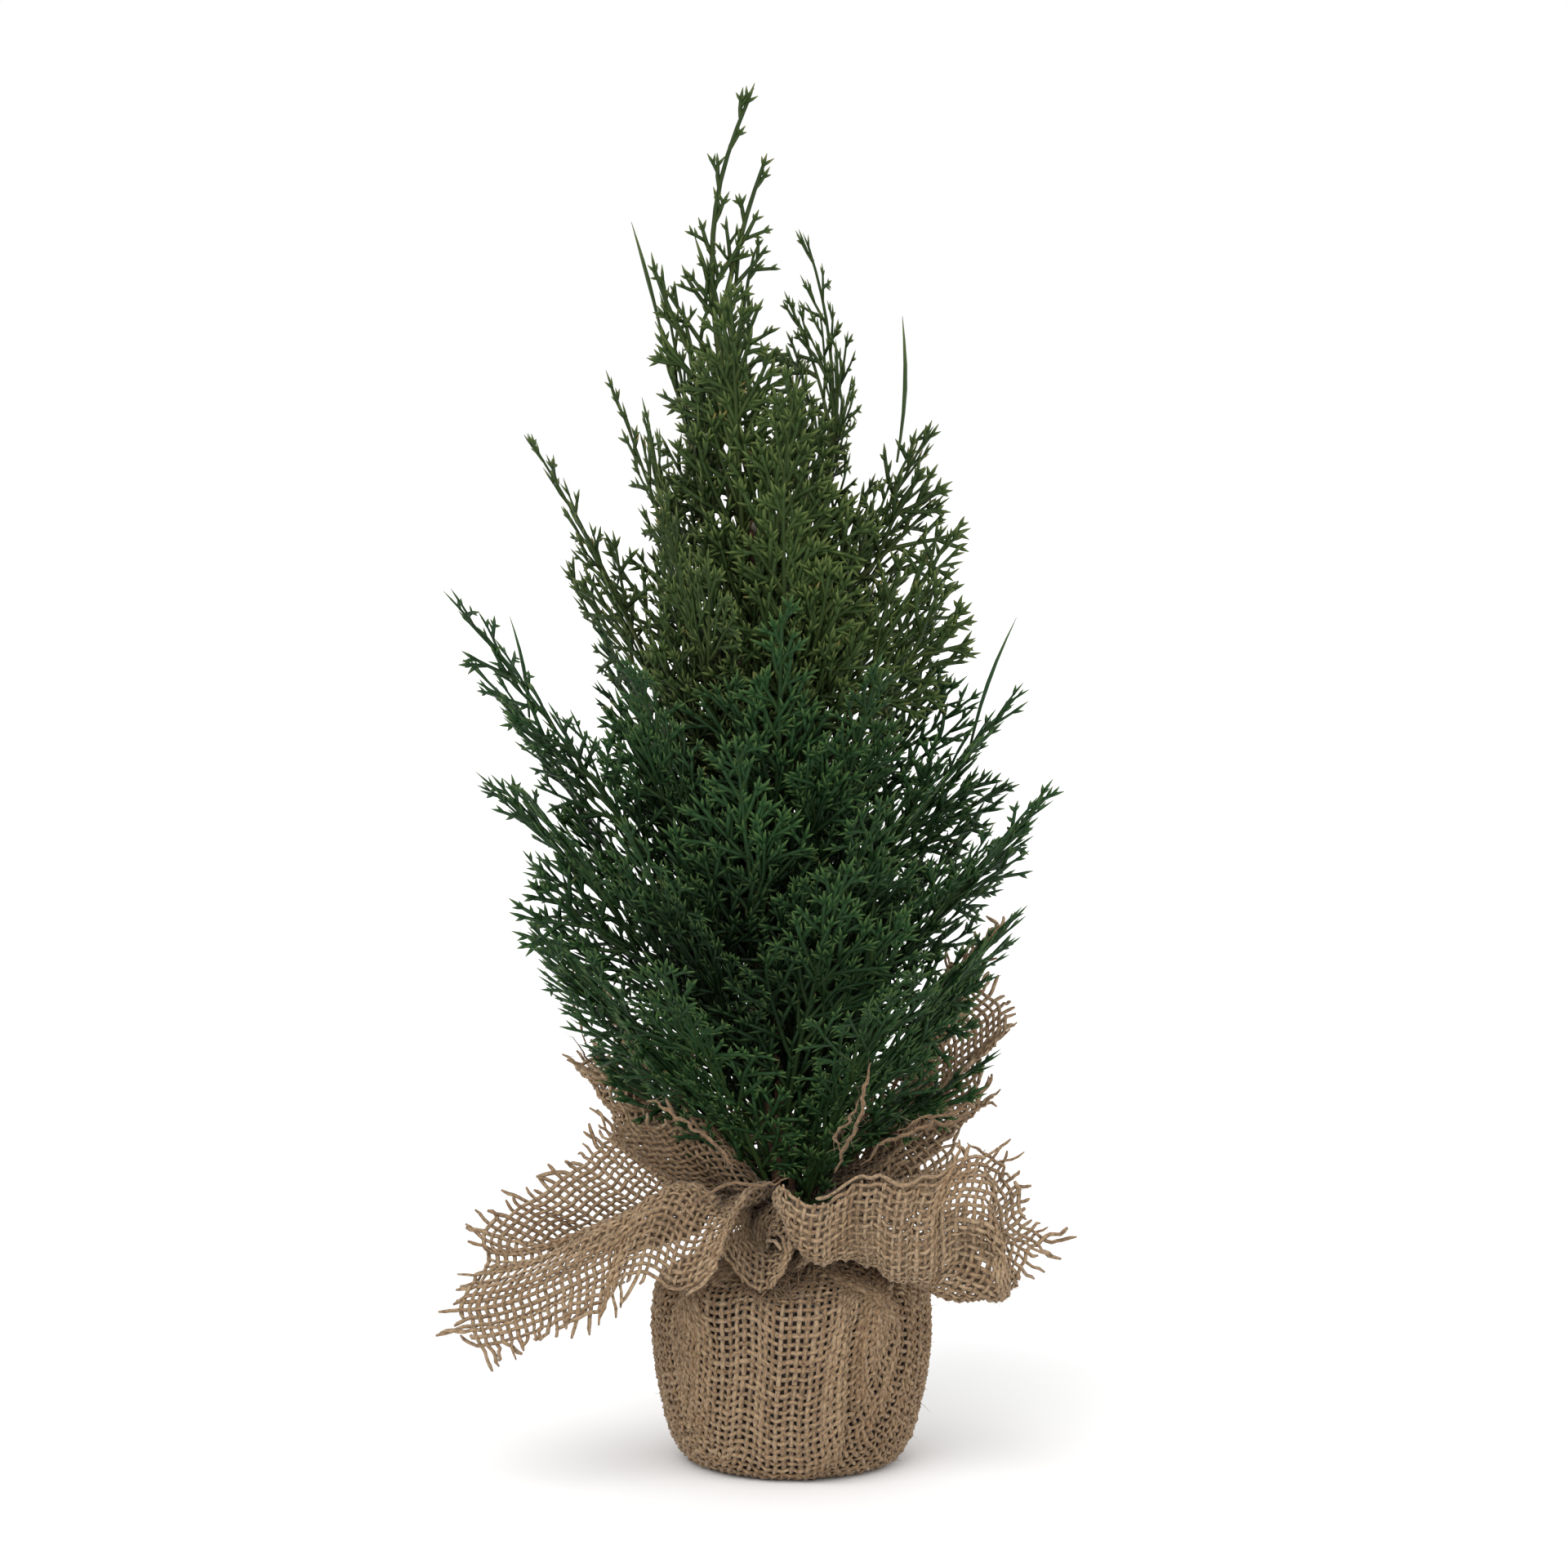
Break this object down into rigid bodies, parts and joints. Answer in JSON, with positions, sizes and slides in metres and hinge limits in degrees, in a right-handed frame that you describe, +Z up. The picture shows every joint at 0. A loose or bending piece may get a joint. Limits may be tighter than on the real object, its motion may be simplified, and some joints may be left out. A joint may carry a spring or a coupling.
{
  "type": "artificial tabletop tree",
  "caption": "Small artificial cedar tree of moulded plastic sprays on a taped wire trunk, standing in a round pot wrapped in a gathered square of loose burlap with frayed corners.",
  "frame": {"origin": "centre of the pot's flat underside, on the surface it stands on", "axes": "+Z up the trunk; -Y is the front, which the picture shows; +X is to the right seen from the front"},
  "size_m": [0.1796, 0.1246, 0.4058],
  "materials": {
    "burlap": "loose plain-weave natural jute, frayed edges",
    "foliage_lower": "moulded polyethylene, deep blue-green, satin",
    "foliage_upper": "moulded polyethylene, olive green with pale tips, satin",
    "pot_plastic": "thin black moulded cup",
    "cement": "cast cement, matt",
    "rod_steel": "coated steel wire",
    "florist_tape": "brown waxed crepe florist tape",
    "clear_glue": "translucent hot-melt glue",
    "tie_wire": "dark lacquered binding wire"
  },
  "bodies": {
    "base": {"binding_band_1_skirt": "florist_tape", "binding_band_2_low": "florist_tape", "binding_band_3_middle": "florist_tape", "binding_band_4_upper": "florist_tape", "binding_band_5_high": "florist_tape", "binding_band_6_crown": "florist_tape", "burlap_wrap": "burlap", "cement_weight": "cement", "glue_bead": "clear_glue", "glue_collar": "clear_glue", "neck_tie": "tie_wire", "pot_cup": "pot_plastic", "trunk_rod": "rod_steel", "trunk_wrap": "florist_tape"},
    "crown_spray_back": {"crown_spray_back": "foliage_upper"},
    "crown_spray_front": {"crown_spray_front": "foliage_upper"},
    "crown_spray_left": {"crown_spray_left": "foliage_upper"},
    "crown_spray_right": {"crown_spray_right": "foliage_upper"},
    "high_spray_back_right": {"high_spray_back_right": "foliage_upper"},
    "high_spray_front": {"high_spray_front": "foliage_upper"},
    "high_spray_left": {"high_spray_left": "foliage_upper"},
    "high_spray_right": {"high_spray_right": "foliage_upper"},
    "leader_spray": {"leader_spray": "foliage_upper"},
    "low_spray_back": {"low_spray_back": "foliage_lower"},
    "low_spray_back_left": {"low_spray_back_left": "foliage_lower"},
    "low_spray_back_right": {"low_spray_back_right": "foliage_lower"},
    "low_spray_front": {"low_spray_front": "foliage_lower"},
    "low_spray_front_left": {"low_spray_front_left": "foliage_lower"},
    "low_spray_front_right": {"low_spray_front_right": "foliage_lower"},
    "low_spray_left": {"low_spray_left": "foliage_lower"},
    "low_spray_right": {"low_spray_right": "foliage_lower"},
    "low_spray_right_back": {"low_spray_right_back": "foliage_lower"},
    "middle_spray_back": {"middle_spray_back": "foliage_lower"},
    "middle_spray_back_left": {"middle_spray_back_left": "foliage_lower"},
    "middle_spray_back_right": {"middle_spray_back_right": "foliage_lower"},
    "middle_spray_front": {"middle_spray_front": "foliage_lower"},
    "middle_spray_front_left": {"middle_spray_front_left": "foliage_lower"},
    "middle_spray_front_right": {"middle_spray_front_right": "foliage_lower"},
    "middle_spray_left": {"middle_spray_left": "foliage_lower"},
    "middle_spray_right": {"middle_spray_right": "foliage_lower"},
    "skirt_spray_back": {"skirt_spray_back": "foliage_lower"},
    "skirt_spray_back_left": {"skirt_spray_back_left": "foliage_lower"},
    "skirt_spray_back_right": {"skirt_spray_back_right": "foliage_lower"},
    "skirt_spray_front": {"skirt_spray_front": "foliage_lower"},
    "skirt_spray_front_left": {"skirt_spray_front_left": "foliage_lower"},
    "skirt_spray_front_right": {"skirt_spray_front_right": "foliage_lower"},
    "skirt_spray_left": {"skirt_spray_left": "foliage_lower"},
    "skirt_spray_left_low": {"skirt_spray_left_low": "foliage_lower"},
    "skirt_spray_right": {"skirt_spray_right": "foliage_lower"},
    "skirt_spray_right_low": {"skirt_spray_right_low": "foliage_lower"},
    "sprig_front": {"sprig_front": "foliage_lower"},
    "upper_spray_back_left": {"upper_spray_back_left": "foliage_upper"},
    "upper_spray_back_right": {"upper_spray_back_right": "foliage_upper"},
    "upper_spray_front": {"upper_spray_front": "foliage_upper"},
    "upper_spray_front_left": {"upper_spray_front_left": "foliage_upper"},
    "upper_spray_left": {"upper_spray_left": "foliage_upper"},
    "upper_spray_right": {"upper_spray_right": "foliage_upper"}
  },
  "joints": [
    {"name": "crown_spray_back_bend", "type": "hinge", "parent": "base", "child": "crown_spray_back", "pos_m": [-0.01128, 0.00636, 0.24], "axis": [-0.9945, 0.1045, 0], "range_deg": [-5, 14]},
    {"name": "crown_spray_front_bend", "type": "hinge", "parent": "base", "child": "crown_spray_front", "pos_m": [-0.01393, -0.00609, 0.24], "axis": [0.9511, -0.309, 0], "range_deg": [-4, 4]},
    {"name": "crown_spray_left_bend", "type": "hinge", "parent": "base", "child": "crown_spray_left", "pos_m": [-0.01817, 0.00133, 0.243], "axis": [-0.2079, -0.9781, 0], "range_deg": [-4, 11]},
    {"name": "crown_spray_right_bend", "type": "hinge", "parent": "base", "child": "crown_spray_right", "pos_m": [-0.00607, -0.0026, 0.243], "axis": [0.4067, 0.9135, 0], "range_deg": [-4, 13]},
    {"name": "high_spray_back_right_bend", "type": "hinge", "parent": "base", "child": "high_spray_back_right", "pos_m": [-0.00834, 0.00543, 0.207], "axis": [-0.848, 0.5299, 0], "range_deg": [-5, 8]},
    {"name": "high_spray_front_bend", "type": "hinge", "parent": "base", "child": "high_spray_front", "pos_m": [-0.01284, -0.0063, 0.207], "axis": [0.9848, -0.1736, 0], "range_deg": [-3, 6]},
    {"name": "high_spray_left_bend", "type": "hinge", "parent": "base", "child": "high_spray_left", "pos_m": [-0.01804, 0.00045, 0.204], "axis": [-0.0698, -0.9976, 0], "range_deg": [-4, 14]},
    {"name": "high_spray_right_bend", "type": "hinge", "parent": "base", "child": "high_spray_right", "pos_m": [-0.00532, -0.00089, 0.204], "axis": [0.1392, 0.9903, 0], "range_deg": [-5, 15]},
    {"name": "leader_spray_bend", "type": "hinge", "parent": "base", "child": "leader_spray", "pos_m": [-0.01032, 0, 0.288], "axis": [0, -1, 0], "range_deg": [-5, 12]},
    {"name": "low_spray_back_bend", "type": "hinge", "parent": "base", "child": "low_spray_back", "pos_m": [-0.00723, 0.00609, 0.109], "axis": [-0.9511, -0.309, 0], "range_deg": [-3, 17]},
    {"name": "low_spray_back_left_bend", "type": "hinge", "parent": "base", "child": "low_spray_back_left", "pos_m": [-0.0106, 0.003, 0.106], "axis": [-0.4695, -0.8829, 0], "range_deg": [-5, 7]},
    {"name": "low_spray_back_right_bend", "type": "hinge", "parent": "base", "child": "low_spray_back_right", "pos_m": [-0.00255, 0.00593, 0.106], "axis": [-0.9272, 0.3746, 0], "range_deg": [-2, 5]},
    {"name": "low_spray_front_bend", "type": "hinge", "parent": "base", "child": "low_spray_front", "pos_m": [-0.00614, -0.00634, 0.109], "axis": [0.9903, -0.1392, 0], "range_deg": [-5, 11]},
    {"name": "low_spray_front_left_bend", "type": "hinge", "parent": "base", "child": "low_spray_front_left", "pos_m": [-0.00985, -0.00411, 0.106], "axis": [0.6428, -0.766, 0], "range_deg": [-4, 16]},
    {"name": "low_spray_front_right_bend", "type": "hinge", "parent": "base", "child": "low_spray_front_right", "pos_m": [-0.00149, -0.00518, 0.109], "axis": [0.809, 0.5878, 0], "range_deg": [-5, 12]},
    {"name": "low_spray_left_bend", "type": "hinge", "parent": "base", "child": "low_spray_left", "pos_m": [-0.01163, -0.00045, 0.109], "axis": [0.0698, -0.9976, 0], "range_deg": [-4, 14]},
    {"name": "low_spray_right_bend", "type": "hinge", "parent": "base", "child": "low_spray_right", "pos_m": [0.00131, -0.00133, 0.106], "axis": [0.2079, 0.9781, 0], "range_deg": [-5, 10]},
    {"name": "low_spray_right_back_bend", "type": "hinge", "parent": "base", "child": "low_spray_right_back", "pos_m": [0.00055, 0.0027, 0.109], "axis": [-0.4226, 0.9063, 0], "range_deg": [-5, 7]},
    {"name": "middle_spray_back_bend", "type": "hinge", "parent": "base", "child": "middle_spray_back", "pos_m": [-0.00875, 0.00636, 0.14], "axis": [-0.9945, -0.1045, 0], "range_deg": [-2, 13]},
    {"name": "middle_spray_back_left_bend", "type": "hinge", "parent": "base", "child": "middle_spray_back_left", "pos_m": [-0.01288, 0.00394, 0.137], "axis": [-0.6157, -0.788, 0], "range_deg": [-4, 15]},
    {"name": "middle_spray_back_right_bend", "type": "hinge", "parent": "base", "child": "middle_spray_back_right", "pos_m": [-0.00339, 0.0046, 0.137], "axis": [-0.7193, 0.6947, 0], "range_deg": [-5, 7]},
    {"name": "middle_spray_front_bend", "type": "hinge", "parent": "base", "child": "middle_spray_front", "pos_m": [-0.00775, -0.00639, 0.14], "axis": [0.9986, 0.0523, 0], "range_deg": [-5, 3]},
    {"name": "middle_spray_front_left_bend", "type": "hinge", "parent": "base", "child": "middle_spray_front_left", "pos_m": [-0.01236, -0.00453, 0.137], "axis": [0.7071, -0.7071, 0], "range_deg": [0, 12]},
    {"name": "middle_spray_front_right_bend", "type": "hinge", "parent": "base", "child": "middle_spray_front_right", "pos_m": [-0.00339, -0.0046, 0.137], "axis": [0.7193, 0.6947, 0], "range_deg": [-2, 11]},
    {"name": "middle_spray_left_bend", "type": "hinge", "parent": "base", "child": "middle_spray_left", "pos_m": [-0.01448, -0.00022, 0.14], "axis": [0.0349, -0.9994, 0], "range_deg": [-5, 12]},
    {"name": "middle_spray_right_bend", "type": "hinge", "parent": "base", "child": "middle_spray_right", "pos_m": [-0.00173, -0.00078, 0.14], "axis": [0.1219, 0.9925, 0], "range_deg": [-5, 14]},
    {"name": "skirt_spray_back_bend", "type": "hinge", "parent": "base", "child": "skirt_spray_back", "pos_m": [-0.0022, 0.0064, 0.08], "axis": [-1, 0, 0], "range_deg": [0, 20]},
    {"name": "skirt_spray_back_left_bend", "type": "hinge", "parent": "base", "child": "skirt_spray_back_left", "pos_m": [-0.00638, 0.00511, 0.083], "axis": [-0.7986, -0.6018, 0], "range_deg": [0, 14]},
    {"name": "skirt_spray_back_right_bend", "type": "hinge", "parent": "base", "child": "skirt_spray_back_right", "pos_m": [0.00123, 0.00518, 0.083], "axis": [-0.809, 0.5878, 0], "range_deg": [-4, 18]},
    {"name": "skirt_spray_front_bend", "type": "hinge", "parent": "base", "child": "skirt_spray_front", "pos_m": [-0.00209, -0.00638, 0.083], "axis": [0.9976, 0.0698, 0], "range_deg": [-5, 20]},
    {"name": "skirt_spray_front_left_bend", "type": "hinge", "parent": "base", "child": "skirt_spray_front_left", "pos_m": [-0.00578, -0.00531, 0.08], "axis": [0.829, -0.5592, 0], "range_deg": [-5, 20]},
    {"name": "skirt_spray_front_right_bend", "type": "hinge", "parent": "base", "child": "skirt_spray_front_right", "pos_m": [0.00173, -0.00504, 0.08], "axis": [0.788, 0.6157, 0], "range_deg": [-5, 8]},
    {"name": "skirt_spray_left_bend", "type": "hinge", "parent": "base", "child": "skirt_spray_left", "pos_m": [-0.00879, -0.00133, 0.083], "axis": [0.2079, -0.9781, 0], "range_deg": [-5, 20]},
    {"name": "skirt_spray_left_low_bend", "type": "hinge", "parent": "base", "child": "skirt_spray_left_low", "pos_m": [-0.00828, 0.00166, 0.079], "axis": [-0.2588, -0.9659, 0], "range_deg": [-5, 5]},
    {"name": "skirt_spray_right_bend", "type": "hinge", "parent": "base", "child": "skirt_spray_right", "pos_m": [0.00373, -0.00133, 0.083], "axis": [0.2079, 0.9781, 0], "range_deg": [-5, 12]},
    {"name": "skirt_spray_right_low_bend", "type": "hinge", "parent": "base", "child": "skirt_spray_right_low", "pos_m": [0.00427, 0.00067, 0.079], "axis": [-0.1045, 0.9945, 0], "range_deg": [-5, 10]},
    {"name": "sprig_front_bend", "type": "hinge", "parent": "base", "child": "sprig_front", "pos_m": [0.0015, -0.00585, 0.07], "axis": [0.9135, 0.4067, 0], "range_deg": [-5, 13]},
    {"name": "upper_spray_back_left_bend", "type": "hinge", "parent": "base", "child": "upper_spray_back_left", "pos_m": [-0.01437, 0.0049, 0.171], "axis": [-0.766, -0.6428, 0], "range_deg": [-5, 10]},
    {"name": "upper_spray_back_right_bend", "type": "hinge", "parent": "base", "child": "upper_spray_back_right", "pos_m": [-0.00685, 0.00531, 0.174], "axis": [-0.829, 0.5592, 0], "range_deg": [-5, 19]},
    {"name": "upper_spray_front_bend", "type": "hinge", "parent": "base", "child": "upper_spray_front", "pos_m": [-0.00888, -0.00621, 0.174], "axis": [0.9703, 0.2419, 0], "range_deg": [0, 10]},
    {"name": "upper_spray_front_left_bend", "type": "hinge", "parent": "base", "child": "upper_spray_front_left", "pos_m": [-0.01471, -0.0046, 0.171], "axis": [0.7193, -0.6947, 0], "range_deg": [-4, 16]},
    {"name": "upper_spray_left_bend", "type": "hinge", "parent": "base", "child": "upper_spray_left", "pos_m": [-0.01682, 0.00022, 0.174], "axis": [-0.0349, -0.9994, 0], "range_deg": [0, 20]},
    {"name": "upper_spray_right_bend", "type": "hinge", "parent": "base", "child": "upper_spray_right", "pos_m": [-0.00405, -0.00155, 0.171], "axis": [0.2419, 0.9703, 0], "range_deg": [-5, 17]}
  ]
}
